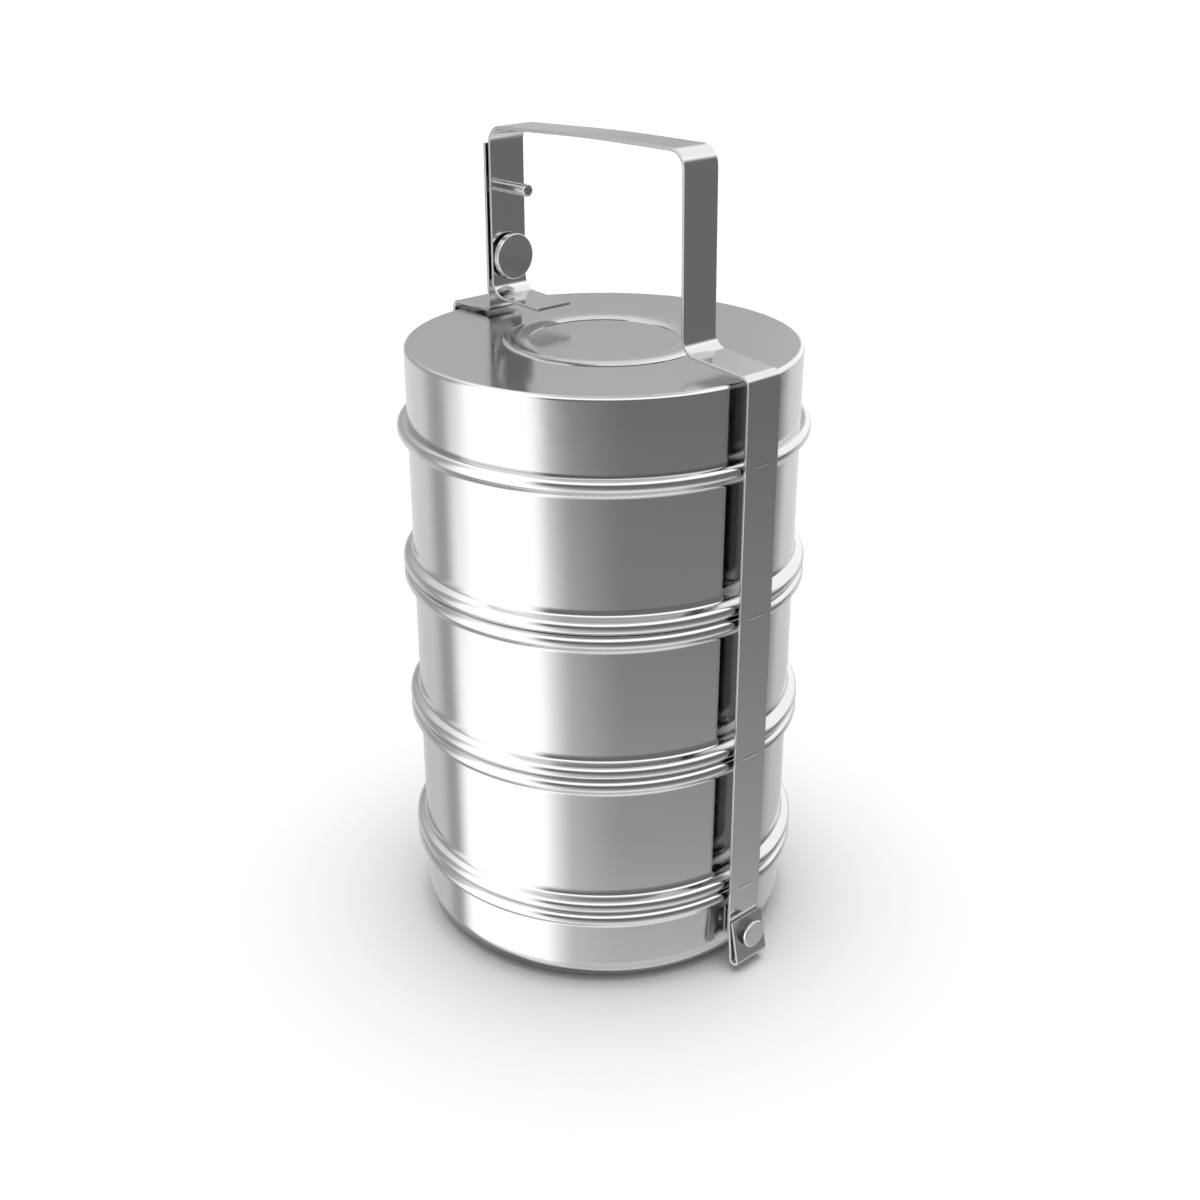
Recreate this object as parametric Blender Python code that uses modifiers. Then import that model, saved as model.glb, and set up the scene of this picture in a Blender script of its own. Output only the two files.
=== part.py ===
"""A stainless steel tiffin carrier: a stack of nested bowls under a lid, clamped by a hinged strap frame.

The stack stands on z = 0 about the Z axis. Both straps lie in the XZ plane: the right one runs on into
the carrying handle, and the left one ends in a tab that latches on the handle's left leg.
"""

import math

import bmesh
import bpy
from mathutils import Matrix, Vector

for leftover in list(bpy.data.objects):
    bpy.data.objects.remove(leftover, do_unlink=True)

# Vessels
WALL_RADIUS = 0.0700
SHEET = 0.0008
TIER_PITCH = 0.0551
BASE_RIM_HEIGHT = 0.0304
BASE_CORNER = 0.0100
RIM_BEAD_RADIUS = 0.0025
SHOULDER_BEAD_RADIUS = 0.0028
BEAD_STAND_OUT = 0.0037
NEST_DEPTH = 0.0065
NEST_CLEARANCE = 0.0005
SPIGOT_CORNER = 0.0040
LID_HEIGHT = 0.0261
LID_CORNER = 0.0028
RING_RADIUS = 0.0310
RING_WIDTH = 0.0090
RING_HEIGHT = 0.0011
RING_CROWN = 0.0120

# Strap frame, bent from one width of strip
STRIP_WIDTH = 0.0156
STRIP = 0.0012
STRAP_SPLAY = 0.0009
FOOT_KICK = 0.0014
KICK_HEIGHT = 0.0210
KICK_BEND = 0.0200
SHOULDER_CLEARANCE = 0.0018
SHOULDER_RISE = 0.0026
LATCH_CLEARANCE = 0.0011
SHOULDER_BEND = 0.0030
HANDLE_RISE = 0.0702
RIGHT_LEG = 0.0443
LEG_SPLAY = 0.0012
LEFT_LEG = 0.0510
LEG_BEND = 0.0060
GRIP_BEND = 0.0060
GRIP_DROOP = 0.0020
GRIP_CURVE = 0.8000
FOOT_CLEARANCE = 0.0070
FOOT_DROOP = 0.0010
FOOT_LENGTH = 0.0250
TAB_GAP = 0.0015
TAB_BEND = 0.0020
TAB_BELOW_GRIP = 0.0084

# Knuckles at the straps' feet
HINGE_HEIGHT = 0.0053
KNUCKLE_BORE = 0.0021
FLAP_HEIGHT = 0.0211
LUG_WIDTH = 0.0060
LUG_TOP = 0.0225
LUG_BEND_HEIGHT = 0.0112
LUG_BEND = 0.0020
HINGE_BAR_LENGTH = 0.0130
NOTCH_MARGIN = 0.0010

# Rivets, stud and pin
RIVET_HEIGHT = 0.0149
RIVET_HEAD_RADIUS = 0.0053
RIVET_HEAD = 0.0013
RIVET_SHANK_RADIUS = 0.0019
RIVET_BURR_RADIUS = 0.0030
RIVET_BURR = 0.0008
RIVET_WASHER_RADIUS = 0.0030
RIVET_WASHER = 0.0005
STUD_RISE = 0.0215
STUD_HEAD_RADIUS = 0.0083
STUD_HEAD = 0.0024
STUD_SHANK_RADIUS = 0.0022
STUD_BURR_RADIUS = 0.0038
STUD_BURR = 0.0007
STUD_WASHER_RADIUS = 0.0052
STUD_WASHER = 0.0007
PIN_RISE = 0.0461
PIN_RADIUS = 0.0022
PIN_REACH = 0.0113
PIN_DIMPLE_RADIUS = 0.0012
PIN_DIMPLE_DEPTH = 0.0025
EDGE_ROUND = 0.0004

# Clearances
SEAT_GAP = 0.0003
HINGE_CLEARANCE = 0.0003
HOLE_CLEARANCE = 0.0003
TAB_HOLE_CLEARANCE = 0.0010

# Facets
VESSEL_SEGMENTS = 32
SMALL_SEGMENTS = 20
BEAD_STEPS = 4
BEND_STEP = math.radians(26)

# Heights and places that follow from the sizes above
crown = RIM_BEAD_RADIUS + SEAT_GAP
seats = [BASE_RIM_HEIGHT + tier * TIER_PITCH + crown for tier in range(4)]
lid_top = seats[3] + LID_HEIGHT
wall_line = WALL_RADIUS - SHEET / 2
mouth_radius = WALL_RADIUS - SHEET
spigot_line = mouth_radius - NEST_CLEARANCE - SHEET / 2
rim_line = RIM_BEAD_RADIUS - SHEET / 2
shoulder_bead_line = SHOULDER_BEAD_RADIUS - SHEET / 2
strap_line = WALL_RADIUS + BEAD_STAND_OUT + SEAT_GAP + STRIP / 2
strap_heel = strap_line + STRAP_SPLAY
strap_foot = strap_heel + FOOT_KICK
shoulder_line = lid_top + SHOULDER_CLEARANCE + STRIP / 2
latch_line = lid_top + LATCH_CLEARANCE + STRIP / 2
foot_line = lid_top + FOOT_CLEARANCE + STRIP / 2
grip_line = lid_top + HANDLE_RISE - STRIP / 2
tab_line = LEFT_LEG + STRIP + TAB_GAP
tab_top = grip_line + STRIP / 2 - TAB_BELOW_GRIP
knuckle_line = KNUCKLE_BORE / 2 + STRIP / 2
hinge_x = strap_foot + knuckle_line
hinge_bar_radius = KNUCKLE_BORE / 2 - HINGE_CLEARANCE


def collection(name):
    made = bpy.data.collections.new(name)
    bpy.context.scene.collection.children.link(made)
    return made


parts = collection("tiffin_carrier")
cutters = collection("cutters")


def steel(name, shade, roughness):
    material = bpy.data.materials.new(name)
    material.use_nodes = True
    shader = material.node_tree.nodes["Principled BSDF"]
    shader.inputs["Base Color"].default_value = (shade, shade, shade * 1.01, 1.0)
    shader.inputs["Metallic"].default_value = 1.0
    shader.inputs["Roughness"].default_value = roughness
    return material


def arc(centre, radius, start, end, steps):
    """Points of an arc in the profile plane, its angles measured from +X."""
    angles = [start + (end - start) * step / steps for step in range(steps + 1)]
    return [Vector((centre[0] + radius * math.cos(a), centre[1] + radius * math.sin(a))) for a in angles]


def rounded(corners):
    """A path through corners given as (x, z, bend radius). Each bend is an arc, and none is a sharp corner."""
    path = [Vector(corners[0][:2])]
    for before, (x, z, radius), after in zip(corners, corners[1:], corners[2:]):
        corner = Vector((x, z))
        if not radius:
            path.append(corner)
            continue
        into = (Vector(before[:2]) - corner).normalized()
        onward = (Vector(after[:2]) - corner).normalized()
        half = into.angle(onward) / 2
        centre = corner + (into + onward).normalized() * radius / math.sin(half)
        first = corner + into * radius / math.tan(half) - centre
        last = corner + onward * radius / math.tan(half) - centre
        start = math.atan2(first.y, first.x)
        turn = (math.atan2(last.y, last.x) - start + math.pi) % math.tau - math.pi
        steps = max(2, math.ceil(abs(turn) / BEND_STEP))
        path += arc(centre, radius, start, start + turn, steps)
    return path + [Vector(corners[-1][:2])]


def bead(height, radius):
    """The middle line of a half-round bead pressed out of the wall."""
    centre = (WALL_RADIUS + BEAD_STAND_OUT - radius, height)
    return arc(centre, radius - SHEET / 2, -math.pi / 2, math.pi / 2, BEAD_STEPS)


def sheet_outline(path, thickness):
    """The outline of a sheet about its middle line: its left side, then its right side back again."""
    along = [(b - a).normalized() for a, b in zip(path, path[1:])]
    across = [Vector((-d.y, d.x)) for d in along]
    left, right = [], []
    for point, before, after in zip(path, across[:1] + across, across + across[-1:]):
        mitre = (before + after) / (1 + before.dot(after)) * thickness / 2
        left.append(point + mitre)
        right.append(point - mitre)
    return left + right[::-1]


def turned(name, outline, segments, shut=False):
    """A mesh turned about Z from an outline in XZ that starts and ends on the axis, or is a ring."""
    mesh = bpy.data.meshes.new(name)
    joins = [(i, i + 1) for i in range(len(outline) - 1)]
    if shut:
        joins.append((len(outline) - 1, 0))
    mesh.from_pydata([(x, 0.0, z) for x, z in outline], joins, [])
    guide = bpy.data.objects.new(name + "_profile", mesh)
    bpy.context.scene.collection.objects.link(guide)
    screw = guide.modifiers.new("turn", "SCREW")
    screw.axis = "Z"
    screw.steps = segments
    screw.render_steps = segments
    screw.use_merge_vertices = True
    screw.merge_threshold = 0.00001
    return meshed(guide)


def meshed(guide):
    """The guide's evaluated shape as one welded mesh facing out. The guide is removed."""
    graph = bpy.context.evaluated_depsgraph_get()
    mesh = bpy.data.meshes.new_from_object(guide.evaluated_get(graph))
    data = guide.data
    bpy.data.objects.remove(guide, do_unlink=True)
    (bpy.data.curves if isinstance(data, bpy.types.Curve) else bpy.data.meshes).remove(data)
    shape = bmesh.new()
    shape.from_mesh(mesh)
    bmesh.ops.remove_doubles(shape, verts=shape.verts, dist=0.000001)
    bmesh.ops.recalc_face_normals(shape, faces=shape.faces)
    shape.to_mesh(mesh)
    shape.free()
    mesh.shade_smooth()
    mesh.set_sharp_from_angle(angle=math.radians(35))
    return mesh


def strip(name, path, width):
    """A mesh of flat strip of the given width, bent in the XZ plane along the path."""
    curve = bpy.data.curves.new(name, "CURVE")
    curve.dimensions = "2D"
    curve.fill_mode = "BOTH"
    curve.extrude = width / 2
    outline = sheet_outline(path, STRIP)
    spline = curve.splines.new("POLY")
    spline.points.add(len(outline) - 1)
    for point, (x, z) in zip(spline.points, outline):
        point.co = (x, z, 0.0, 1.0)
    spline.use_cyclic_u = True
    guide = bpy.data.objects.new(name + "_outline", curve)
    bpy.context.scene.collection.objects.link(guide)
    mesh = meshed(guide)
    mesh.transform(Matrix.Rotation(math.pi / 2, 4, "X"))
    return mesh


def rod(name, radius, length, matrix):
    """A round cutter or joining piece along its matrix's Z axis, about its middle."""
    mesh = bpy.data.meshes.new(name)
    shape = bmesh.new()
    bmesh.ops.create_cone(
        shape,
        cap_ends=True,
        segments=SMALL_SEGMENTS,
        radius1=radius,
        radius2=radius,
        depth=length,
        matrix=matrix,
    )
    shape.to_mesh(mesh)
    shape.free()
    return helper(name, mesh)


def block(name, low, high):
    """A box-shaped cutter between two corners."""
    mesh = bpy.data.meshes.new(name)
    shape = bmesh.new()
    middle = (Vector(low) + Vector(high)) / 2
    size = Matrix.Diagonal((*(Vector(high) - Vector(low)), 1.0))
    bmesh.ops.create_cube(shape, size=1.0, matrix=Matrix.Translation(middle) @ size)
    shape.to_mesh(mesh)
    shape.free()
    return helper(name, mesh)


def helper(name, mesh):
    obj = bpy.data.objects.new(name, mesh)
    obj.hide_render = True
    obj.display_type = "WIRE"
    cutters.objects.link(obj)
    return obj


def part(name, mesh, carrier=None, place=Matrix(), shade=0.62, roughness=0.18):
    """A named sub-part at its place in the world, carried by an empty or another part."""
    obj = bpy.data.objects.new(name, mesh)
    parts.objects.link(obj)
    mesh.materials.clear()
    mesh.materials.append(steel(name + "_steel", shade, roughness))
    obj.matrix_world = place
    carry(obj, carrier)
    return obj


def carry(obj, carrier):
    if carrier:
        bpy.context.view_layer.update()
        obj.parent = carrier
        obj.matrix_parent_inverse = carrier.matrix_world.inverted()


def axis_empty(name, place, carrier):
    empty = bpy.data.objects.new(name, None)
    empty.empty_display_size = 0.01
    empty.location = place
    parts.objects.link(empty)
    carry(empty, carrier)
    bpy.context.view_layer.update()
    return empty


def cut(obj, tool, operation="DIFFERENCE"):
    boolean = obj.modifiers.new(tool.name, "BOOLEAN")
    boolean.operation = operation
    boolean.object = tool


def along_x(x, z, side=1):
    """A frame at (x, 0, z) whose Z axis points along X, towards +X when side is 1."""
    return Matrix.Translation((x, 0.0, z)) @ Matrix.Rotation(side * math.pi / 2, 4, "Y")


# Base bowl: a deep rounded bottom corner and a beaded rim
def base_profile():
    floor = rounded(
        [
            (0.0, SHEET / 2, 0.0),
            (wall_line, SHEET / 2, BASE_CORNER - SHEET / 2),
            (wall_line, BASE_RIM_HEIGHT - rim_line, 0.0),
        ]
    )
    edge = Vector((mouth_radius, BASE_RIM_HEIGHT + rim_line))
    return floor + bead(BASE_RIM_HEIGHT, RIM_BEAD_RADIUS) + [edge]


base_bowl = part(
    "base_bowl", turned("base_bowl", sheet_outline(base_profile(), SHEET), VESSEL_SEGMENTS)
)


# Bowls: a spigot that nests in the vessel below, a shoulder bead that sits on its rim, and a rim of its own
def bowl_profile():
    rim = TIER_PITCH - crown
    floor = rounded(
        [
            (0.0, SHEET / 2 - NEST_DEPTH, 0.0),
            (spigot_line, SHEET / 2 - NEST_DEPTH, min(SPIGOT_CORNER, NEST_DEPTH) - SHEET / 2),
            (spigot_line, SHEET / 2, 0.0),
        ]
    )
    shoulder = bead(SHOULDER_BEAD_RADIUS, SHOULDER_BEAD_RADIUS)
    wall = [
        Vector((wall_line, SHOULDER_BEAD_RADIUS + shoulder_bead_line)),
        Vector((wall_line, rim - rim_line)),
    ]
    edge = Vector((mouth_radius, rim + rim_line))
    return floor + shoulder + wall + bead(rim, RIM_BEAD_RADIUS) + [edge]


carrier = base_bowl
for number, seat in zip((3, 2, 1), seats):
    name = f"bowl_{number}"
    mesh = turned(name, sheet_outline(bowl_profile(), SHEET), VESSEL_SEGMENTS)
    carrier = part(name, mesh, carrier, Matrix.Translation((0.0, 0.0, seat)))


# Lid: a shallow cap with a raised ring on top and a stepped-in spigot below
def lid_profile():
    step_bend = 0.4 * (wall_line - spigot_line)
    top = LID_HEIGHT - SHEET / 2
    return rounded(
        [
            (0.0, top, 0.0),
            (RING_RADIUS - RING_WIDTH / 2, top, 0.0),
            (RING_RADIUS, top + RING_HEIGHT, RING_CROWN),
            (RING_RADIUS + RING_WIDTH / 2, top, 0.0),
            (wall_line, top, LID_CORNER - SHEET / 2),
            (wall_line, SHEET / 2, step_bend),
            (spigot_line, SHEET / 2, step_bend),
            (spigot_line, -NEST_DEPTH, 0.0),
        ]
    )


lid = part(
    "lid",
    turned("lid", sheet_outline(lid_profile(), SHEET), VESSEL_SEGMENTS),
    carrier,
    Matrix.Translation((0.0, 0.0, seats[3])),
)


# Straps: each foot is folded outwards round its hinge bar and back up to the strap
flap_tip = Vector((strap_heel + STRIP + SEAT_GAP, FLAP_HEIGHT))
flap_way = flap_tip - Vector((hinge_x, HINGE_HEIGHT))
flap_start = math.atan2(flap_way.y, flap_way.x) - math.acos(knuckle_line / flap_way.length)


def knuckle_path():
    """From the flap's tip, round the hinge axis, to the strap's straight run."""
    fold = arc((hinge_x, HINGE_HEIGHT), knuckle_line, flap_start, -math.pi, 9)
    return [flap_tip] + fold


def mirrored(path):
    return [Vector((-x, z)) for x, z in path]


handle_path = knuckle_path() + rounded(
    [
        (strap_foot, HINGE_HEIGHT + knuckle_line, 0.0),
        (strap_heel, KICK_HEIGHT, KICK_BEND),
        (strap_line, shoulder_line, SHOULDER_BEND),
        (RIGHT_LEG + LEG_SPLAY, shoulder_line + SHOULDER_RISE, LEG_BEND),
        (RIGHT_LEG, grip_line, GRIP_BEND),
        (0.0, grip_line, GRIP_CURVE),
        (-LEFT_LEG, grip_line - GRIP_DROOP, GRIP_BEND),
        (-LEFT_LEG, foot_line, LEG_BEND),
        (FOOT_LENGTH - LEFT_LEG, foot_line - FOOT_DROOP, 0.0),
    ]
)
latch_path = mirrored(
    knuckle_path()
    + rounded(
        [
            (strap_foot, HINGE_HEIGHT + knuckle_line, 0.0),
            (strap_heel, KICK_HEIGHT, KICK_BEND),
            (strap_line, latch_line, SHOULDER_BEND),
            (tab_line, latch_line, TAB_BEND),
            (tab_line, tab_top, 0.0),
        ]
    )
)
handle_hinge = axis_empty("handle_hinge", (hinge_x, 0.0, HINGE_HEIGHT), base_bowl)
latch_hinge = axis_empty("latch_hinge", (-hinge_x, 0.0, HINGE_HEIGHT), base_bowl)
handle_strap = part("handle_strap", strip("handle_strap", handle_path, STRIP_WIDTH), handle_hinge)
latch_strap = part("latch_strap", strip("latch_strap", latch_path, STRIP_WIDTH), latch_hinge)


# Hinge lugs: a tongue welded to the base bowl, ending in the bar that the strap's knuckle turns on
lug_line = WALL_RADIUS + SEAT_GAP + STRIP / 2
lug_path = rounded(
    [
        (lug_line, LUG_TOP, 0.0),
        (lug_line, LUG_BEND_HEIGHT, LUG_BEND),
        (hinge_x, HINGE_HEIGHT, 0.0),
    ]
)
notch_half = LUG_WIDTH / 2 + NOTCH_MARGIN
notch_reach = KNUCKLE_BORE / 2 + STRIP + NOTCH_MARGIN
notch_top = HINGE_HEIGHT + notch_reach + STRIP
for side, side_name, strap in ((1, "right", handle_strap), (-1, "left", latch_strap)):
    path = lug_path if side == 1 else mirrored(lug_path)
    name = f"{side_name}_hinge_lug"
    lug = part(name, strip(name, path, LUG_WIDTH), base_bowl)
    across = Matrix.Translation((side * hinge_x, 0.0, HINGE_HEIGHT)) @ Matrix.Rotation(math.pi / 2, 4, "X")
    cut(lug, rod(f"{side_name}_hinge_bar", hinge_bar_radius, HINGE_BAR_LENGTH, across), "UNION")
    ends = sorted((side * (hinge_x - notch_reach), side * (hinge_x + HINGE_CLEARANCE)))
    notch = block(
        f"{side_name}_notch",
        (ends[0], -notch_half, HINGE_HEIGHT - notch_reach),
        (ends[1], notch_half, notch_top),
    )
    cut(strap, notch)


# Foot rivets: each closes a fold, level, with a washer under its flat head that meets the flap low down
def rivet_profile(grip):
    """A headed rivet along Z, its head above z = 0 and its burr past the far side of its grip."""
    washer = 2 * SEAT_GAP + RIVET_WASHER
    burr = -grip - SEAT_GAP
    return [
        Vector((0.0, washer + RIVET_HEAD)),
        Vector((RIVET_HEAD_RADIUS - EDGE_ROUND, washer + RIVET_HEAD)),
        Vector((RIVET_HEAD_RADIUS, washer + RIVET_HEAD - EDGE_ROUND)),
        Vector((RIVET_HEAD_RADIUS, washer)),
        Vector((RIVET_SHANK_RADIUS, washer)),
        Vector((RIVET_SHANK_RADIUS, burr)),
        Vector((RIVET_BURR_RADIUS, burr)),
        Vector((RIVET_SHANK_RADIUS, burr - RIVET_BURR)),
        Vector((0.0, burr - RIVET_BURR)),
    ]


def ring_outline(inner, outer, low, high):
    return [Vector((inner, high)), Vector((outer, high)), Vector((outer, low)), Vector((inner, low))]


flap_edge = FLAP_HEIGHT - RIVET_HEIGHT + RIVET_WASHER_RADIUS
rivet_face = flap_tip.x + flap_edge * math.tan(flap_start) + STRIP / 2 / math.cos(flap_start)
rivet_grip = rivet_face - strap_heel + STRIP / 2
for side, side_name, strap, hinge in (
    (1, "right", handle_strap, handle_hinge),
    (-1, "left", latch_strap, latch_hinge),
):
    turn = Matrix.Rotation(side * math.pi / 2, 4, "Y")
    frame = Matrix.Translation((side * rivet_face, 0.0, RIVET_HEIGHT)) @ turn
    hole = rod(
        f"{side_name}_rivet_hole",
        RIVET_SHANK_RADIUS + HOLE_CLEARANCE,
        4 * rivet_grip,
        frame,
    )
    cut(strap, hole)
    name = f"{side_name}_foot_rivet"
    part(name, turned(name, rivet_profile(rivet_grip), SMALL_SEGMENTS), hinge, frame)
    name = f"{side_name}_rivet_washer"
    washer = ring_outline(
        RIVET_SHANK_RADIUS + HOLE_CLEARANCE, RIVET_WASHER_RADIUS, SEAT_GAP, SEAT_GAP + RIVET_WASHER
    )
    part(name, turned(name, washer, SMALL_SEGMENTS, shut=True), hinge, frame)


# Latch stud: a flat disc on the left leg's inner face, riveted through the leg into the tab's lower hole
stud_back = SEAT_GAP + STUD_WASHER + SEAT_GAP
stud_burr = -STRIP - SEAT_GAP
tail_end = -STRIP - TAB_GAP - STRIP
stud_profile = [
    Vector((0.0, stud_back + STUD_HEAD)),
    Vector((STUD_HEAD_RADIUS - EDGE_ROUND, stud_back + STUD_HEAD)),
    Vector((STUD_HEAD_RADIUS, stud_back + STUD_HEAD - EDGE_ROUND)),
    Vector((STUD_HEAD_RADIUS, stud_back)),
    Vector((STUD_SHANK_RADIUS, stud_back)),
    Vector((STUD_SHANK_RADIUS, stud_burr)),
    Vector((STUD_BURR_RADIUS, stud_burr)),
    Vector((STUD_BURR_RADIUS, stud_burr - STUD_BURR)),
    Vector((STUD_SHANK_RADIUS, stud_burr - STUD_BURR)),
    Vector((STUD_SHANK_RADIUS, tail_end)),
    Vector((0.0, tail_end)),
]
leg_face = STRIP / 2 - LEFT_LEG
stud_frame = along_x(leg_face, lid_top + STUD_RISE)
part("latch_stud", turned("latch_stud", stud_profile, SMALL_SEGMENTS), handle_hinge, stud_frame)
washer = ring_outline(
    STUD_SHANK_RADIUS + HOLE_CLEARANCE, STUD_WASHER_RADIUS, SEAT_GAP, SEAT_GAP + STUD_WASHER
)
part("stud_washer", turned("stud_washer", washer, SMALL_SEGMENTS, shut=True), handle_hinge, stud_frame)

# Lock pin: slides in the left leg, its tail in the tab's upper hole and its dimpled tip inside the handle
pin_frame = along_x(leg_face, lid_top + PIN_RISE)
pin_profile = [
    Vector((0.0, PIN_REACH - PIN_DIMPLE_DEPTH)),
    Vector((PIN_DIMPLE_RADIUS, PIN_REACH - PIN_DIMPLE_DEPTH)),
    Vector((PIN_DIMPLE_RADIUS, PIN_REACH)),
    Vector((PIN_RADIUS - EDGE_ROUND, PIN_REACH)),
    Vector((PIN_RADIUS, PIN_REACH - EDGE_ROUND)),
    Vector((PIN_RADIUS, tail_end)),
    Vector((0.0, tail_end)),
]
part("lock_pin", turned("lock_pin", pin_profile, SMALL_SEGMENTS), handle_strap, pin_frame)

# Holes for the stud and the pin: close ones in the leg, wide ones in the tab so that it lifts away freely
for name, frame, radius in (
    ("stud", stud_frame, STUD_SHANK_RADIUS),
    ("pin", pin_frame, PIN_RADIUS),
):
    cut(handle_strap, rod(f"{name}_leg_hole", radius + HOLE_CLEARANCE, 3 * STRIP, frame))
    in_tab = frame @ Matrix.Translation((0.0, 0.0, tail_end + STRIP / 2))
    cut(latch_strap, rod(f"{name}_tab_hole", radius + TAB_HOLE_CLEARANCE, 2 * STRIP, in_tab))
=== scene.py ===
"""A stainless steel tiffin carrier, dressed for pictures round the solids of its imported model.

The sections follow the carrier as it is put together: base bowl, hinge lugs, bowls, lid, straps, foot
rivets, latch stud and lock pin, and last the studio. Metres, +Z up, standing on z = 0 about the Z axis.
"""

import math

import bmesh
import bpy
from mathutils import Matrix, Vector


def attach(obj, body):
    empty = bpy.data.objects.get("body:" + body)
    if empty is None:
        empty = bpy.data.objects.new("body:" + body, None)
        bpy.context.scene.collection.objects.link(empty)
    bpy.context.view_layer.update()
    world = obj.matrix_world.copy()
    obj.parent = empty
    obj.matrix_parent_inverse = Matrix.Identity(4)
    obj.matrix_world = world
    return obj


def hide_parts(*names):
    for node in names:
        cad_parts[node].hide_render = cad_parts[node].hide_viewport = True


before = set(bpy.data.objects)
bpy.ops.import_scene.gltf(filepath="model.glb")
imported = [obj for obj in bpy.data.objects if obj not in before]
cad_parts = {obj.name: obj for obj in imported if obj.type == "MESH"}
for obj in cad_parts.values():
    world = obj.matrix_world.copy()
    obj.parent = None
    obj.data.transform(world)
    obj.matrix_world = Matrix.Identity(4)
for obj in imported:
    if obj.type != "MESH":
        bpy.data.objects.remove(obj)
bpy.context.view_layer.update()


# Base bowl: the bottom vessel, drawn from one disc of thin stainless sheet with a deep rounded corner.
# Its rim is rolled out into a hollow bead with the edge turned in, and the outside is mirror polished.
SHEET = 0.0008
WALL_RADIUS = 0.0700
BASE_RIM_HEIGHT = 0.0304
BASE_CORNER = 0.0100
RIM_BEAD_RADIUS = 0.0025
BEAD_STAND_OUT = 0.0037
BEAD_ROUND = 0.0020
RIM_FLARE = 0.0015
RIM_ROOT = 0.0030
SPIN_STEPS = 192
BEND_STEPS = 12
WELD_DISTANCE = 0.000002
CREASE_ANGLE = 40.0
wall_line = WALL_RADIUS - SHEET / 2
mouth_radius = WALL_RADIUS - SHEET
rim_line = RIM_BEAD_RADIUS - SHEET / 2
bead_crest = WALL_RADIUS + BEAD_STAND_OUT - SHEET / 2


def wired(tree, kind, feeds=None, **settings):
    """A new node with its settings, each input fed by another node's output or set to a value."""
    node = tree.nodes.new(kind)
    for name, value in settings.items():
        setattr(node, name, value)
    for place, feed in (feeds or {}).items():
        if isinstance(feed, bpy.types.NodeSocket):
            tree.links.new(feed, node.inputs[place])
        else:
            node.inputs[place].default_value = feed
    return node


def reckoned(tree, operation, *values):
    """The result of one arithmetic operation on the values."""
    return wired(tree, "ShaderNodeMath", dict(enumerate(values)), operation=operation).outputs[0]


def named_inputs(tree, inputs):
    """Gives a node tree its named inputs and one geometry output, and returns its two ends."""
    for name, kind in inputs:
        tree.interface.new_socket(name, in_out="INPUT", socket_type="NodeSocket" + kind)
    tree.interface.new_socket("Piece", in_out="OUTPUT", socket_type="NodeSocketGeometry")
    return wired(tree, "NodeGroupInput").outputs, wired(tree, "NodeGroupOutput")


def eased(tree, sizes):
    """The guide's line as a curve, with each corner bent to its own radius."""
    line = wired(tree, "GeometryNodeMeshToCurve", {"Mesh": sizes["Guide"]})
    bend = wired(tree, "GeometryNodeInputNamedAttribute", {"Name": "bend"}, data_type="FLOAT")
    return wired(
        tree,
        "GeometryNodeFilletCurve",
        {"Curve": line.outputs[0], "Count": sizes["Bend Steps"], "Radius": bend.outputs["Attribute"]},
        mode="POLY",
    ).outputs[0]


def in_steel(tree, surface, sizes, end):
    """Closes the surface's poles and seams, shades it smooth and gives it its steel."""
    closed = wired(
        tree, "GeometryNodeMergeByDistance", {"Geometry": surface, "Distance": WELD_DISTANCE}
    )
    smooth = wired(tree, "GeometryNodeSetShadeSmooth", {"Geometry": closed.outputs[0]})
    real = wired(tree, "GeometryNodeRealizeInstances", {"Geometry": smooth.outputs[0]})
    steel = wired(
        tree, "GeometryNodeSetMaterial", {"Geometry": real.outputs[0], "Material": sizes["Steel"]}
    )
    tree.links.new(steel.outputs[0], end.inputs[0])


def spinning_tree():
    """Spins a profile about Z, as sheet is spun over a former."""
    tree = bpy.data.node_groups.new("spinning", "GeometryNodeTree")
    inputs = [("Guide", "Geometry"), ("Bend Steps", "Int"), ("Spin Steps", "Int")]
    sizes, end = named_inputs(tree, inputs + [("Former Radius", "Float"), ("Steel", "Material")])
    inward = reckoned(tree, "MULTIPLY", sizes["Former Radius"], -1.0)
    shift = wired(tree, "ShaderNodeCombineXYZ", {"X": inward})
    profile = wired(
        tree, "GeometryNodeSetPosition", {"Geometry": eased(tree, sizes), "Offset": shift.outputs[0]}
    )
    former = wired(
        tree,
        "GeometryNodeCurvePrimitiveCircle",
        {"Resolution": sizes["Spin Steps"], "Radius": sizes["Former Radius"]},
    )
    shell = wired(
        tree,
        "GeometryNodeCurveToMesh",
        {"Curve": former.outputs[0], "Profile Curve": profile.outputs[0]},
    )
    in_steel(tree, shell.outputs[0], sizes, end)
    return tree


def guided(name, corners, tree, inputs, ring=False):
    """An object whose mesh is a line through corners (x, y, z, bend radius), shaped by a node tree."""
    mesh = bpy.data.meshes.new(name)
    joins = [(i, i + 1) for i in range(len(corners) - 1)]
    if ring:
        joins.append((len(corners) - 1, 0))
    mesh.from_pydata([corner[:3] for corner in corners], joins, [])
    bend = mesh.attributes.new("bend", "FLOAT", "POINT")
    bend.data.foreach_set("value", [corner[3] for corner in corners])
    obj = bpy.data.objects.new(name, mesh)
    bpy.context.scene.collection.objects.link(obj)
    shaping = obj.modifiers.new("shaping", "NODES")
    shaping.node_group = tree
    for item in tree.interface.items_tree:
        if item.in_out == "INPUT" and item.name in inputs:
            shaping[item.identifier] = inputs[item.name]
    return obj


def evaluated(obj):
    """Takes the object's modifiers off and leaves their result as its plain mesh."""
    graph = bpy.context.evaluated_depsgraph_get()
    mesh = bpy.data.meshes.new_from_object(obj.evaluated_get(graph))
    obj.modifiers.clear()
    obj.data = mesh
    return mesh


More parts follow.
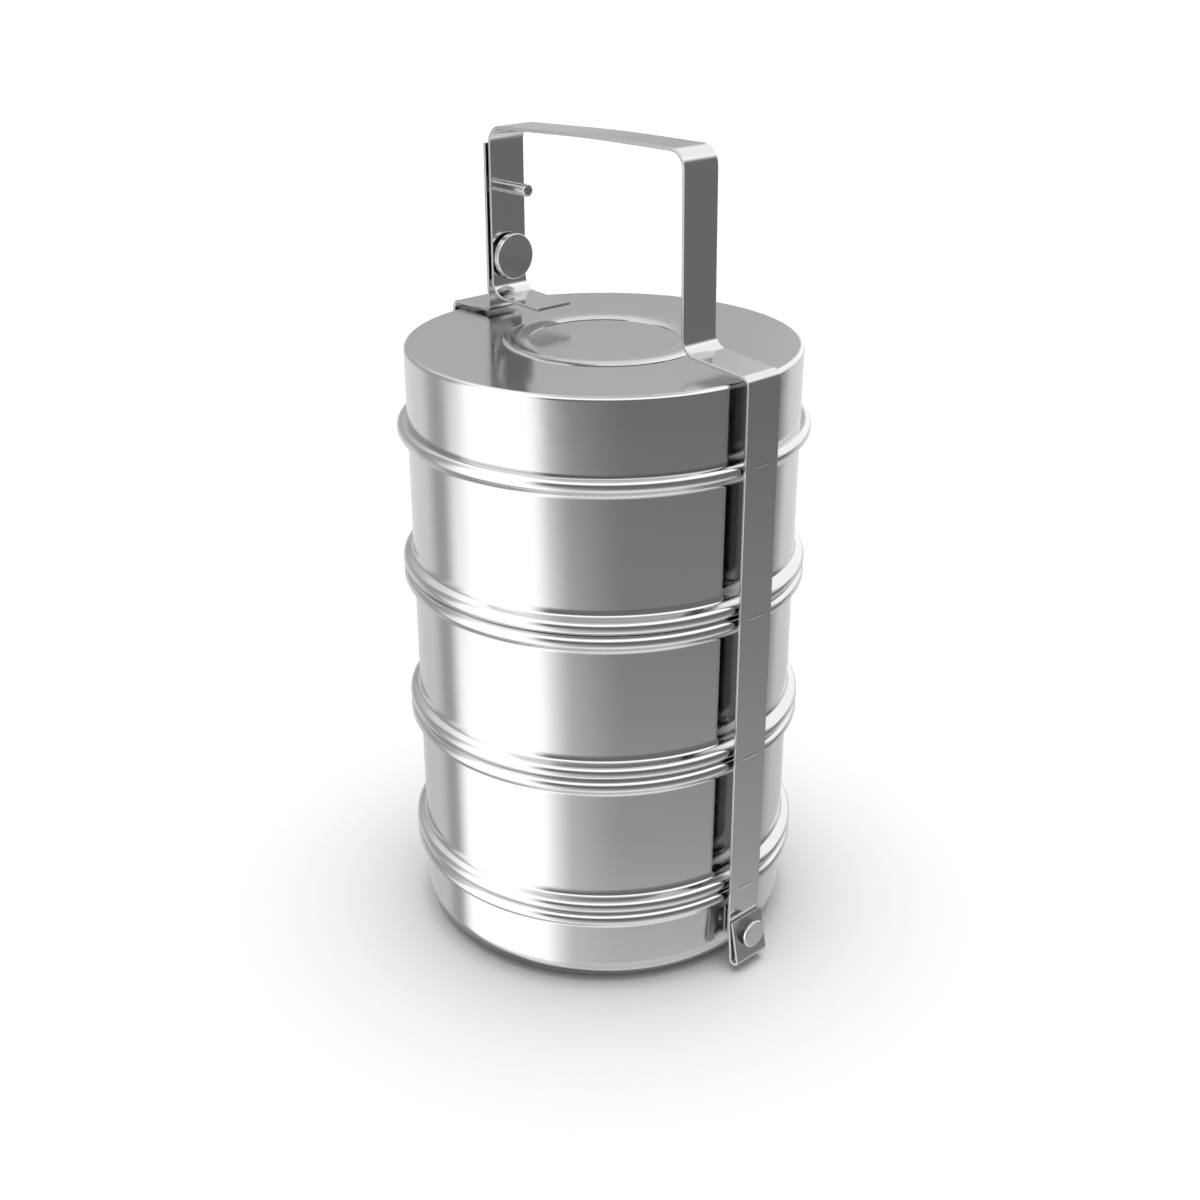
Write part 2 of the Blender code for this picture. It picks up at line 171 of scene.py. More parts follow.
def plain(obj, place=Matrix()):
    """A plain mesh at its place, with crisp corners and flats that shade as flats."""
    mesh = evaluated(obj)
    mesh.transform(place)
    mesh.set_sharp_from_angle(angle=math.radians(CREASE_ANGLE))
    weighted = obj.modifiers.new("flats", "WEIGHTED_NORMAL")
    weighted.keep_sharp = True
    evaluated(obj)
    obj.data.name = obj.name
    return obj


spinning = spinning_tree()


def spun(name, profile, steel, place=Matrix(), sheet=SHEET, steps=SPIN_STEPS, ring=False):
    """A piece spun from a profile of (radius, height, bend radius), the middle line of any sheet."""
    corners = [(x, -z, 0.0, bend) for x, z, bend in profile]
    inputs = {
        "Bend Steps": BEND_STEPS,
        "Spin Steps": steps,
        "Former Radius": WALL_RADIUS,
        "Steel": steel,
    }
    obj = guided(name, corners, spinning, inputs, ring)
    if sheet:
        thick = obj.modifiers.new("sheet", "SOLIDIFY")
        thick.thickness = sheet
        thick.offset = 0.0
        thick.use_even_offset = True
    return plain(obj, place)


def rolled_rim(height):
    """The bead rolled out of the wall's top round the given height, and the edge turned in above it."""
    return [
        (wall_line, height - rim_line - RIM_FLARE, RIM_ROOT),
        (bead_crest, height - rim_line + RIM_FLARE / 2, BEAD_ROUND),
        (bead_crest, height + rim_line, BEAD_ROUND),
        (mouth_radius, height + rim_line, 0.0),
    ]


# The finish of the spun sheet: scales of its grain, depths in metres, and what each adds in roughness.
GRAIN_CONTRAST = 0.6
GRAIN_SPREAD = (0.3, 0.7)
HAZE_SPREAD = (0.5, 0.8)
SPIN_GRAIN = 2600.0
SPIN_DRIFT = 0.004
SPIN_DEPTH = 0.0000015
SPIN_DULL = 0.05
WAVE_GRAIN = 16.0
WAVE_DEPTH = 0.00010
RIPPLE_GRAIN = 75.0
HAZE_GRAIN = 42.0
HAZE_DULL = 0.04
RUB_BELOW = 0.0004
RUB_ABOVE = 0.0005
RUB_DULL = 0.05
# The base bowl's foot, between these shares of its corner radius, is rougher and is coloured darker as
# painted shade.
DULL_SHADED_FOOT_LOW = 0.74
DULL_SHADED_FOOT_HIGH = 0.98
DULL_FOOT = 0.10
VESSEL_RIPPLE = 0.000004
VESSEL_POLISH = 0.07
VESSEL_TONE = (0.635, 0.645, 0.642, 1.0)
# Painted shade: the darker grey of the base bowl's foot, standing in for the mirrored shadow of the
# floor at its contact.
FOOT_SHADE_TONE = (0.42, 0.427, 0.425, 1.0)


def faded(tree, value, low, high, bottom=0.0, top=1.0):
    """The value eased from bottom to top as it goes from low to high."""
    return wired(
        tree,
        "ShaderNodeMapRange",
        {"Value": value, "From Min": low, "From Max": high, "To Min": bottom, "To Max": top},
        interpolation_type="SMOOTHSTEP",
    ).outputs[0]


def grained(tree, vector, scale, detail=2.0):
    """Fine random variation from 0 to 1."""
    feeds = {"Vector": vector, "Scale": scale, "Detail": detail, "Roughness": GRAIN_CONTRAST}
    return wired(tree, "ShaderNodeTexNoise", feeds).outputs["Fac"]


def ringed(tree, place, drift, grain):
    """Fine rings about the Z axis of the given place, the distance from that axis, and the height."""
    axes = wired(tree, "ShaderNodeSeparateXYZ", {0: place}).outputs
    flat = wired(tree, "ShaderNodeCombineXYZ", {"X": axes["X"], "Y": axes["Y"]}).outputs[0]
    radius = wired(tree, "ShaderNodeVectorMath", {0: flat}, operation="LENGTH").outputs["Value"]
    sideways = reckoned(tree, "MULTIPLY", axes["X"], drift)
    round_way = wired(tree, "ShaderNodeCombineXYZ", {"X": radius, "Y": axes["Z"], "Z": sideways})
    return grained(tree, round_way.outputs[0], grain), radius, axes["Z"]


def summed(tree, *values):
    """The values added together."""
    total = values[0]
    for value in values[1:]:
        total = reckoned(tree, "ADD", total, value)
    return total


def raised(tree, height, distance, normal=None):
    """A bump as deep as the given distance in metres, over an optional coarser one."""
    feeds = {"Height": height, "Strength": 1.0, "Distance": distance}
    if normal:
        feeds["Normal"] = normal
    return wired(tree, "ShaderNodeBump", feeds).outputs[0]


def finish_steel(tree, share, first, second, roughness, normal):
    """Bare stainless steel whose tone runs from the first grey to the second as the share grows."""
    tone = wired(tree, "ShaderNodeMix", {0: share, 6: first, 7: second}, data_type="RGBA").outputs[2]
    shader = tree.nodes["Principled BSDF"]
    shader.inputs["Metallic"].default_value = 1.0
    tree.links.new(tone, shader.inputs["Base Color"])
    tree.links.new(roughness, shader.inputs["Roughness"])
    tree.links.new(normal, shader.inputs["Normal"])


def new_steel(name):
    """A new node material, its tree and the Object coordinates of its piece."""
    material = bpy.data.materials.new(name)
    material.use_nodes = True
    tree = material.node_tree
    return material, tree, wired(tree, "ShaderNodeTexCoord").outputs["Object"]


def spun_steel(name, ripple, polish):
    """Mirror-polished sheet: spinning rings, slight waves, faint haze, rubbed crests, and a foot that is
    rougher and coloured darker as painted shade.
    """
    material, tree, place = new_steel(name)
    rings, radius, height = ringed(tree, place, SPIN_DRIFT, SPIN_GRAIN)
    waves = grained(tree, place, WAVE_GRAIN, 1.0)
    haze = grained(tree, place, HAZE_GRAIN, 4.0)
    rub = faded(tree, radius, bead_crest - RUB_BELOW, bead_crest + RUB_ABOVE, 0.0, RUB_DULL)
    foot = faded(tree, height, DULL_SHADED_FOOT_LOW * BASE_CORNER, DULL_SHADED_FOOT_HIGH * BASE_CORNER, 1.0, 0.0)
    roughness = summed(
        tree,
        faded(tree, rings, *GRAIN_SPREAD, polish, polish + SPIN_DULL),
        faded(tree, haze, *HAZE_SPREAD, 0.0, HAZE_DULL),
        faded(tree, foot, 0.0, 1.0, 0.0, DULL_FOOT),
        rub,
    )
    ripples = grained(tree, place, RIPPLE_GRAIN, 1.0)
    uneven = raised(tree, ripples, ripple, raised(tree, waves, WAVE_DEPTH))
    normal = raised(tree, rings, SPIN_DEPTH, uneven)
    # Painted shade: the colour darkens towards the foot of the base bowl.
    bright = faded(tree, foot, 0.0, 1.0, 1.0, 0.0)
    finish_steel(tree, bright, FOOT_SHADE_TONE, VESSEL_TONE, roughness, normal)
    return material


vessel_steel = spun_steel("spun_polished_steel", VESSEL_RIPPLE, VESSEL_POLISH)
base_profile = [
    (0.0, SHEET / 2, 0.0),
    (wall_line, SHEET / 2, BASE_CORNER - SHEET / 2),
    *rolled_rim(BASE_RIM_HEIGHT),
]
base_bowl = spun("spun_base_bowl", base_profile, vessel_steel)
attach(base_bowl, "base")
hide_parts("base_bowl")


# Hinge lugs: a narrow tongue of strip spot-welded to each side of the base bowl, bent out at its foot
# and ending in the cross bar that a strap's folded foot turns on.
STRIP_WIDTH = 0.0156
STRIP = 0.0012
STRIP_EDGE = 0.0003
EDGE_STEPS = 5
END_STEPS = 2
END_ANGLE = 50.0
SEAT_GAP = 0.0003
STRAP_SPLAY = 0.0009
FOOT_KICK = 0.0014
HINGE_HEIGHT = 0.0053
KNUCKLE_BORE = 0.0021
HINGE_CLEARANCE = 0.0003
LUG_WIDTH = 0.0060
LUG_TOP = 0.0225
LUG_BEND_HEIGHT = 0.0112
LUG_BEND = 0.0020
HINGE_BAR_LENGTH = 0.0130
SMALL_STEPS = 64
strap_line = WALL_RADIUS + BEAD_STAND_OUT + SEAT_GAP + STRIP / 2
knuckle_line = KNUCKLE_BORE / 2 + STRIP / 2
strap_heel = strap_line + STRAP_SPLAY
strap_foot = strap_heel + FOOT_KICK
hinge_x = strap_foot + knuckle_line
lug_line = WALL_RADIUS + SEAT_GAP + STRIP / 2


def bending_tree():
    """Bends flat strip with rounded edges along a line in the XZ plane."""
    tree = bpy.data.node_groups.new("bending", "GeometryNodeTree")
    inputs = [("Guide", "Geometry"), ("Bend Steps", "Int"), ("Width", "Float"), ("Thickness", "Float")]
    sizes, end = named_inputs(tree, inputs + [("Edge Radius", "Float"), ("Steel", "Material")])
    route = wired(
        tree,
        "GeometryNodeSetCurveNormal",
        {"Curve": eased(tree, sizes), "Normal": (0.0, 1.0, 0.0)},
        mode="FREE",
    )
    bar = wired(
        tree,
        "GeometryNodeCurvePrimitiveQuadrilateral",
        {"Width": sizes["Width"], "Height": sizes["Thickness"]},
        mode="RECTANGLE",
    )
    section = wired(
        tree,
        "GeometryNodeFilletCurve",
        {"Curve": bar.outputs[0], "Count": EDGE_STEPS, "Radius": sizes["Edge Radius"]},
        mode="POLY",
    )
    strip = wired(
        tree,
        "GeometryNodeCurveToMesh",
        {"Curve": route.outputs[0], "Profile Curve": section.outputs[0], "Fill Caps": True},
    )
    in_steel(tree, strip.outputs[0], sizes, end)
    return tree


bending = bending_tree()


def bent(name, route, width, steel):
    """A strip bent along a route of (x, z, bend radius), its shaping modifiers still on it."""
    corners = [(x, 0.0, z, bend) for x, z, bend in route]
    inputs = {
        "Bend Steps": BEND_STEPS,
        "Width": width,
        "Thickness": STRIP,
        "Edge Radius": STRIP_EDGE,
        "Steel": steel,
    }
    obj = guided(name, corners, bending, inputs)
    ends = obj.modifiers.new("ends", "BEVEL")
    ends.width = STRIP_EDGE / 2
    ends.segments = END_STEPS
    ends.limit_method = "ANGLE"
    ends.angle_limit = math.radians(END_ANGLE)
    return obj


def mirrored(route, side):
    """The route on the given side of the stack, 1 for right and -1 for left."""
    return [(side * x, z, bend) for x, z, bend in route]


def cut(obj, cutter, operation="DIFFERENCE"):
    """Cuts the object with a helper mesh, or joins them, and removes the helper."""
    tool = bpy.data.objects.new("cutter", cutter)
    bpy.context.scene.collection.objects.link(tool)
    boolean = obj.modifiers.new("cut", "BOOLEAN")
    boolean.operation = operation
    boolean.object = tool
    evaluated(obj)
    bpy.data.objects.remove(tool, do_unlink=True)


def rod(radius, length, place):
    """A round helper along its place's Z axis, about its middle."""
    mesh = bpy.data.meshes.new("rod")
    shape = bmesh.new()
    bmesh.ops.create_cone(
        shape,
        cap_ends=True,
        segments=SMALL_STEPS,
        radius1=radius,
        radius2=radius,
        depth=length,
        matrix=place,
    )
    shape.to_mesh(mesh)
    shape.free()
    return mesh


def box(low, high):
    """A box-shaped helper between two corners."""
    mesh = bpy.data.meshes.new("box")
    shape = bmesh.new()
    size = Vector(high) - Vector(low)
    middle = Matrix.Translation((Vector(low) + Vector(high)) / 2)
    bmesh.ops.create_cube(shape, size=1.0, matrix=middle @ Matrix.Diagonal((*size, 1.0)))
    shape.to_mesh(mesh)
    shape.free()
    return mesh


# The finish of the rolled strip, and the press marks that the beads leave across it, each with a painted
# shadow line along its upper half.
LINE_STRETCH = 0.012
LINE_GRAIN = 2400.0
LINE_DEPTH = 0.0000012
LINE_POLISH = (0.10, 0.17)
STRIP_WAVE_GRAIN = 24.0
STRIP_WAVE_DEPTH = 0.00004
STRIP_HAZE_GRAIN = 60.0
STRIP_HAZE_DULL = 0.05
SHEARED_OUTER = 0.0001
SHEARED_INNER = 0.0004
SHEARED_DULL = 0.10
SCUFF_LOW = 0.019
SCUFF_HIGH = 0.024
SCUFF_DULL = 0.24
MARK_HEIGHT = 0.0338
MARK_PITCH = 0.0544
MARK_TOP = (3.4, 3.5)
MARK_HALF_LENGTH = (0.0020, 0.0046)
MARK_HALF_WIDTH = (0.0001, 0.0006)
MARK_DEPTH = 0.00006
# Painted shade: where across each press mark its upper, darker half begins.
MARK_SHADE_SPREAD = (-0.0001, 0.0002)
STRIP_TONE = (0.61, 0.62, 0.617, 1.0)
# The darker grey of worn edges, also used for the painted shade of the press marks.
WORN_AND_SHADED_TONE = (0.52, 0.528, 0.525, 1.0)


def strip_steel(name, half_width):
    """Rolled strip: drawn lines, haze, worn edges, a scuffed foot, and a press mark at each seat with
    its upper half coloured darker as painted shade.
    """
    material, tree, place = new_steel(name)
    axes = wired(tree, "ShaderNodeSeparateXYZ", {0: place}).outputs
    long_way = wired(
        tree, "ShaderNodeMapping", {"Vector": place, "Scale": (LINE_STRETCH, 1.0, LINE_STRETCH)}
    ).outputs[0]
    lines = grained(tree, long_way, LINE_GRAIN)
    waves = grained(tree, place, STRIP_WAVE_GRAIN, 1.0)
    haze = grained(tree, place, STRIP_HAZE_GRAIN, 4.0)
    across = reckoned(tree, "ABSOLUTE", axes["Y"])
    edge = faded(tree, across, half_width - SHEARED_INNER, half_width - SHEARED_OUTER)
    foot = faded(tree, axes["Z"], SCUFF_LOW, SCUFF_HIGH, 1.0, 0.0)
    above = reckoned(tree, "SUBTRACT", axes["Z"], MARK_HEIGHT)
    nearest = reckoned(tree, "WRAP", above, MARK_PITCH / 2, -MARK_PITCH / 2)
    off_mark = reckoned(tree, "ABSOLUTE", nearest)
    middle = faded(tree, across, *MARK_HALF_LENGTH, 1.0, 0.0)
    below_lid = faded(tree, above, MARK_TOP[0] * MARK_PITCH, MARK_TOP[1] * MARK_PITCH, 1.0, 0.0)
    mark = faded(tree, off_mark, *MARK_HALF_WIDTH, 1.0, 0.0)
    for share in (middle, below_lid):
        mark = reckoned(tree, "MULTIPLY", mark, share)
    roughness = summed(
        tree,
        faded(tree, lines, *GRAIN_SPREAD, *LINE_POLISH),
        faded(tree, haze, *HAZE_SPREAD, 0.0, STRIP_HAZE_DULL),
        faded(tree, edge, 0.0, 1.0, 0.0, SHEARED_DULL),
        faded(tree, foot, 0.0, 1.0, 0.0, SCUFF_DULL),
    )
    pressed = raised(tree, mark, MARK_DEPTH, raised(tree, waves, STRIP_WAVE_DEPTH))
    normal = raised(tree, lines, LINE_DEPTH, pressed)
    # Painted shade: the upper half of each press mark is coloured darker, as a shadow line where the
    # strap meets the bead.
    upper = faded(tree, nearest, *MARK_SHADE_SPREAD)
    painted_mark_shade = reckoned(tree, "MULTIPLY", mark, upper)
    wear_and_shade = reckoned(tree, "MAXIMUM", painted_mark_shade, edge)
    finish_steel(tree, wear_and_shade, STRIP_TONE, WORN_AND_SHADED_TONE, roughness, normal)
    return material


across_y = Matrix.Rotation(math.pi / 2, 4, "X")
lug_steel = strip_steel("lug_strip_steel", LUG_WIDTH / 2)
lug_route = [
    (lug_line, LUG_TOP, 0.0),
    (lug_line, LUG_BEND_HEIGHT, LUG_BEND),
    (hinge_x, HINGE_HEIGHT, 0.0),
]
for side, side_name in ((1, "right"), (-1, "left")):
    lug = bent(f"bent_{side_name}_hinge_lug", mirrored(lug_route, side), LUG_WIDTH, lug_steel)
    bar_place = Matrix.Translation((side * hinge_x, 0.0, HINGE_HEIGHT)) @ across_y
    cut(lug, rod(KNUCKLE_BORE / 2 - HINGE_CLEARANCE, HINGE_BAR_LENGTH, bar_place), "UNION")
    plain(lug)
    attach(lug, "base")
    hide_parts(f"{side_name}_hinge_lug")


# Bowls: three like vessels, each with a spigot that nests in the one below, a shoulder bead that sits on
# its rim, and a beaded rim of its own. Spun from the same sheet as the base bowl.
TIER_PITCH = 0.0551
SHOULDER_BEAD_RADIUS = 0.0028
FLANK_FOOT = 0.0013
FLANK_HEAD = 0.0030
WALL_LEAN = 0.0004
LEAN_RISE = 0.0020
FLANK_ROOT = 0.0020
LEAN_ROOT = 0.0080
SEAT_DROP = 0.00025
NEST_DEPTH = 0.0065
NEST_CLEARANCE = 0.0005
SPIGOT_CORNER = 0.0040
crown = RIM_BEAD_RADIUS + SEAT_GAP
shoulder_line = SHOULDER_BEAD_RADIUS - SHEET / 2
shoulder_crest = SHEET / 2 + shoulder_line
seat_line = SHEET / 2 - SEAT_DROP
spigot_line = mouth_radius - NEST_CLEARANCE - SHEET / 2
seats = [BASE_RIM_HEIGHT + tier * TIER_PITCH + crown for tier in range(4)]
bowl_rim = TIER_PITCH - crown
bowl_profile = [
    (0.0, SHEET / 2 - NEST_DEPTH, 0.0),
    (spigot_line, SHEET / 2 - NEST_DEPTH, SPIGOT_CORNER - SHEET / 2),
    (spigot_line, seat_line, SHEET / 2),
    (bead_crest, seat_line, shoulder_line),
    (bead_crest, shoulder_crest + FLANK_FOOT, BEAD_ROUND),
    (wall_line + WALL_LEAN, shoulder_crest + FLANK_HEAD, FLANK_ROOT),
    (wall_line, shoulder_crest + FLANK_HEAD + LEAN_RISE, LEAN_ROOT),
    *rolled_rim(bowl_rim),
]
for number, tier, seat in zip((3, 2, 1), ("lower", "middle", "upper"), seats):
    bowl = spun(f"spun_bowl_{number}", bowl_profile, vessel_steel, Matrix.Translation((0.0, 0.0, seat)))
    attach(bowl, f"{tier}_tier")
    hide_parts(f"bowl_{number}")


# Lid: a shallow cap drawn from the same sheet, with a low rounded ring pressed up in its top and a
# stepped-in spigot that drops into the top bowl.
LID_HEIGHT = 0.0261
LID_EDGE = 0.0012
RING_RADIUS = 0.0310
RING_WIDTH = 0.0090
RING_CROWN = 0.0120
RING_STEP = 0.0003
RING_EASE = 0.96
LID_RIPPLE = 0.00006
LID_POLISH = 0.12
lid_crown = LID_HEIGHT - SHEET / 2
lid_step = SHEET / 4
ring_half = (RING_WIDTH - SHEET) / 2
lid_profile = [
    (0.0, lid_crown, 0.0),
    (RING_RADIUS - ring_half, lid_crown, 0.0),
    (RING_RADIUS - ring_half, lid_crown + RING_STEP, 0.0),
    (RING_RADIUS, lid_crown + RING_STEP + ring_half * ring_half / RING_CROWN, RING_EASE * RING_CROWN),
    (RING_RADIUS + ring_half, lid_crown + RING_STEP, 0.0),
    (RING_RADIUS + ring_half, lid_crown, 0.0),
    (wall_line, lid_crown, LID_EDGE),
    (wall_line, seat_line, 0.0),
    (spigot_line, seat_line, lid_step),
    (spigot_line, -NEST_DEPTH, 0.0),
]
lid_steel = spun_steel("lid_polished_steel", LID_RIPPLE, LID_POLISH)
lid = spun("spun_lid", lid_profile, lid_steel, Matrix.Translation((0.0, 0.0, seats[3])))
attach(lid, "cover")
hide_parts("lid")


# Straps: two lengths of flat strip, each foot folded out round its hinge bar and back up. The right one
# runs over the lid into the carrying handle, and the left one ends in a tab that latches on its leg.
FLAP_HEIGHT = 0.0211
FOLD_EASE = 0.98
KICK_HEIGHT = 0.0210
KICK_BEND = 0.0200
SHOULDER_CLEARANCE = 0.0018
SHOULDER_RISE = 0.0026
LATCH_CLEARANCE = 0.0011
SHOULDER_BEND = 0.0030
HANDLE_RISE = 0.0702
RIGHT_LEG = 0.0443
LEG_SPLAY = 0.0012
LEFT_LEG = 0.0510
LEG_BEND = 0.0060
GRIP_BEND = 0.0060
GRIP_DROOP = 0.0020
GRIP_CURVE = 0.8000
FOOT_CLEARANCE = 0.0070
FOOT_DROOP = 0.0010
FOOT_LENGTH = 0.0250
TAB_GAP = 0.0015
TAB_BEND = 0.0020
TAB_BELOW_GRIP = 0.0084
NOTCH_MARGIN = 0.0010
lid_top = seats[3] + LID_HEIGHT
handle_line = lid_top + SHOULDER_CLEARANCE + STRIP / 2
latch_line = lid_top + LATCH_CLEARANCE + STRIP / 2
foot_line = lid_top + FOOT_CLEARANCE + STRIP / 2
grip_line = lid_top + HANDLE_RISE - STRIP / 2
tab_line = LEFT_LEG + STRIP + TAB_GAP
tab_top = grip_line + STRIP / 2 - TAB_BELOW_GRIP
fold_base = HINGE_HEIGHT - knuckle_line
flap_tip = Vector((strap_heel + STRIP + SEAT_GAP, FLAP_HEIGHT))
flap_way = flap_tip - Vector((hinge_x, HINGE_HEIGHT))
flap_lean = math.atan2(flap_way.y, flap_way.x) - math.acos(knuckle_line / flap_way.length)
flap_square = Vector((math.cos(flap_lean), math.sin(flap_lean)))
flap_foot = Vector((hinge_x, HINGE_HEIGHT)) + knuckle_line * flap_square
fold_corner = flap_foot.x + (flap_foot.y - fold_base) * math.tan(flap_lean)
folded_foot = [
    (*flap_tip, 0.0),
    (fold_corner, fold_base, FOLD_EASE * knuckle_line),
    (strap_foot, fold_base, FOLD_EASE * knuckle_line),
    (strap_foot, HINGE_HEIGHT + knuckle_line, KICK_BEND),
    (strap_heel, KICK_HEIGHT, KICK_BEND),
]
handle_route = folded_foot + [
    (strap_line, handle_line, SHOULDER_BEND),
    (RIGHT_LEG + LEG_SPLAY, handle_line + SHOULDER_RISE, LEG_BEND),
    (RIGHT_LEG, grip_line, GRIP_BEND),
    (0.0, grip_line, GRIP_CURVE),
    (-LEFT_LEG, grip_line - GRIP_DROOP, GRIP_BEND),
    (-LEFT_LEG, foot_line, LEG_BEND),
    (FOOT_LENGTH - LEFT_LEG, foot_line - FOOT_DROOP, 0.0),
]
latch_route = folded_foot + [
    (strap_line, latch_line, SHOULDER_BEND),
    (tab_line, latch_line, TAB_BEND),
    (tab_line, tab_top, 0.0),
]
strap_steel = strip_steel("strap_strip_steel", STRIP_WIDTH / 2)
handle_strap = bent("bent_handle_strap", handle_route, STRIP_WIDTH, strap_steel)
latch_strap = bent("bent_latch_strap", mirrored(latch_route, -1), STRIP_WIDTH, strap_steel)
notch_half = LUG_WIDTH / 2 + NOTCH_MARGIN
notch_reach = KNUCKLE_BORE / 2 + STRIP + NOTCH_MARGIN
for side, strap in ((1, handle_strap), (-1, latch_strap)):
    ends = sorted((side * (hinge_x - notch_reach), side * (hinge_x + HINGE_CLEARANCE)))
    notch = box(
        (ends[0], -notch_half, HINGE_HEIGHT - notch_reach),
        (ends[1], notch_half, HINGE_HEIGHT + notch_reach + STRIP),
    )
    cut(strap, notch)


# Foot rivets: one closes each folded foot, set level through the strap, with a spacer washer under its
# flat head and its tail hammered over behind the strap.
RIVET_HEIGHT = 0.0149
RIVET_HEAD_RADIUS = 0.0053
RIVET_HEAD = 0.0013
RIVET_SHANK_RADIUS = 0.0019
RIVET_BURR_RADIUS = 0.0030
RIVET_BURR = 0.0008
RIVET_WASHER_RADIUS = 0.0030
RIVET_WASHER = 0.0005
HOLE_CLEARANCE = 0.0003
HEAD_ROUND = 0.0005
flap_edge = FLAP_HEIGHT - RIVET_HEIGHT + RIVET_WASHER_RADIUS
rivet_face = flap_tip.x + flap_edge * math.tan(flap_lean) + STRIP / 2 / math.cos(flap_lean)
rivet_grip = rivet_face - strap_heel + STRIP / 2
rivet_seat = 2 * SEAT_GAP + RIVET_WASHER
rivet_tail = -rivet_grip - SEAT_GAP
rivet_profile = [
    (0.0, rivet_seat + RIVET_HEAD, 0.0),
    (RIVET_HEAD_RADIUS, rivet_seat + RIVET_HEAD, HEAD_ROUND),
    (RIVET_HEAD_RADIUS, rivet_seat, HEAD_ROUND / 2),
    (RIVET_SHANK_RADIUS, rivet_seat, 0.0),
    (RIVET_SHANK_RADIUS, rivet_tail, 0.0),
    (RIVET_BURR_RADIUS, rivet_tail, 0.0),
    (RIVET_SHANK_RADIUS, rivet_tail - RIVET_BURR, RIVET_BURR / 2),
    (0.0, rivet_tail - RIVET_BURR, 0.0),
]


# The finish of the turned fasteners.
TURN_GRAIN = 3600.0
TURN_DRIFT = 0.02
TURN_DEPTH = 0.000002
TURN_POLISH = (0.13, 0.21)
TURN_HAZE_GRAIN = 120.0
TURN_HAZE_SPREAD = (0.45, 0.8)
TURN_HAZE_DULL = 0.06
TURN_RIM = 0.85
TURN_TONE = (0.60, 0.61, 0.607, 1.0)
RUBBED_TONE = (0.67, 0.68, 0.677, 1.0)


def turned_steel(name, place, radius):
    """Turned fastener stock: fine rings about its own axis and a rim rubbed bright."""
    material, tree, here = new_steel(name)
    local = wired(
        tree,
        "ShaderNodeMapping",
        {"Vector": here, "Location": place.to_translation(), "Rotation": place.to_euler()},
        vector_type="TEXTURE",
    ).outputs[0]
    rings, off_axis, _ = ringed(tree, local, TURN_DRIFT, TURN_GRAIN)
    haze = grained(tree, here, TURN_HAZE_GRAIN, 3.0)
    rim = faded(tree, off_axis, TURN_RIM * radius, radius)
    roughness = summed(
        tree,
        faded(tree, rings, *GRAIN_SPREAD, *TURN_POLISH),
        faded(tree, haze, *TURN_HAZE_SPREAD, 0.0, TURN_HAZE_DULL),
    )
    normal = raised(tree, rings, TURN_DEPTH)
    finish_steel(tree, rim, TURN_TONE, RUBBED_TONE, roughness, normal)
    return material


def washer_profile(inner, outer, low, high):
    """A flat washer with eased edges."""
    ease = (high - low) / 4
    return [(inner, high, 0.0), (outer, high, ease), (outer, low, ease), (inner, low, 0.0)]


def fastener(name, profile, place, radius, body, node, ring=False):
    """A turned piece at its place, with steel of its own."""
    steel = turned_steel(name + "_steel", place, radius)
    obj = spun(name, profile, steel, place, 0.0, SMALL_STEPS, ring)
    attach(obj, body)
    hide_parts(node)


for side, side_name, strap, body in (
    (1, "right", handle_strap, "handle"),
    (-1, "left", latch_strap, "latch"),
):
    outward = Matrix.Rotation(side * math.pi / 2, 4, "Y")
    place = Matrix.Translation((side * rivet_face, 0.0, RIVET_HEIGHT)) @ outward
    cut(strap, rod(RIVET_SHANK_RADIUS + HOLE_CLEARANCE, 4 * rivet_grip, place))
    name = f"{side_name}_foot_rivet"
    fastener(f"turned_{name}", rivet_profile, place, RIVET_HEAD_RADIUS, body, name)
    name = f"{side_name}_rivet_washer"
    washer = washer_profile(
        RIVET_SHANK_RADIUS + HOLE_CLEARANCE, RIVET_WASHER_RADIUS, SEAT_GAP, SEAT_GAP + RIVET_WASHER
    )
    fastener(f"turned_{name}", washer, place, RIVET_WASHER_RADIUS, body, name, True)


# Latch stud and lock pin: the stud is a flat disc riveted through the handle's left leg, its tail in the
# tab's lower hole. The pin above it slides in the leg, with a drilled tip inside the handle.
STUD_RISE = 0.0215
STUD_HEAD_RADIUS = 0.0083
STUD_HEAD = 0.0024
STUD_SHANK_RADIUS = 0.0022
STUD_BURR_RADIUS = 0.0038
STUD_BURR = 0.0007
STUD_WASHER_RADIUS = 0.0052
STUD_WASHER = 0.0007
PIN_RISE = 0.0461
PIN_RADIUS = 0.0022
PIN_REACH = 0.0113
PIN_DIMPLE_RADIUS = 0.0012
PIN_DIMPLE_DEPTH = 0.0025
PIN_FIT = 0.00006
TAB_HOLE_CLEARANCE = 0.0010
stud_back = 2 * SEAT_GAP + STUD_WASHER
stud_burr = -STRIP - SEAT_GAP
tail_end = -STRIP - TAB_GAP - STRIP
leg_face = STRIP / 2 - LEFT_LEG
along_x = Matrix.Rotation(math.pi / 2, 4, "Y")
stud_place = Matrix.Translation((leg_face, 0.0, lid_top + STUD_RISE)) @ along_x
pin_place = Matrix.Translation((leg_face, 0.0, lid_top + PIN_RISE)) @ along_x
stud_profile = [
    (0.0, stud_back + STUD_HEAD, 0.0),
    (STUD_HEAD_RADIUS, stud_back + STUD_HEAD, HEAD_ROUND),
    (STUD_HEAD_RADIUS, stud_back, HEAD_ROUND / 2),
    (STUD_SHANK_RADIUS, stud_back, 0.0),
    (STUD_SHANK_RADIUS, stud_burr, 0.0),
    (STUD_BURR_RADIUS, stud_burr, STUD_BURR / 4),
    (STUD_BURR_RADIUS, stud_burr - STUD_BURR, STUD_BURR / 4),
    (STUD_SHANK_RADIUS, stud_burr - STUD_BURR, 0.0),
    (STUD_SHANK_RADIUS, tail_end, HEAD_ROUND / 2),
    (0.0, tail_end, 0.0),
]
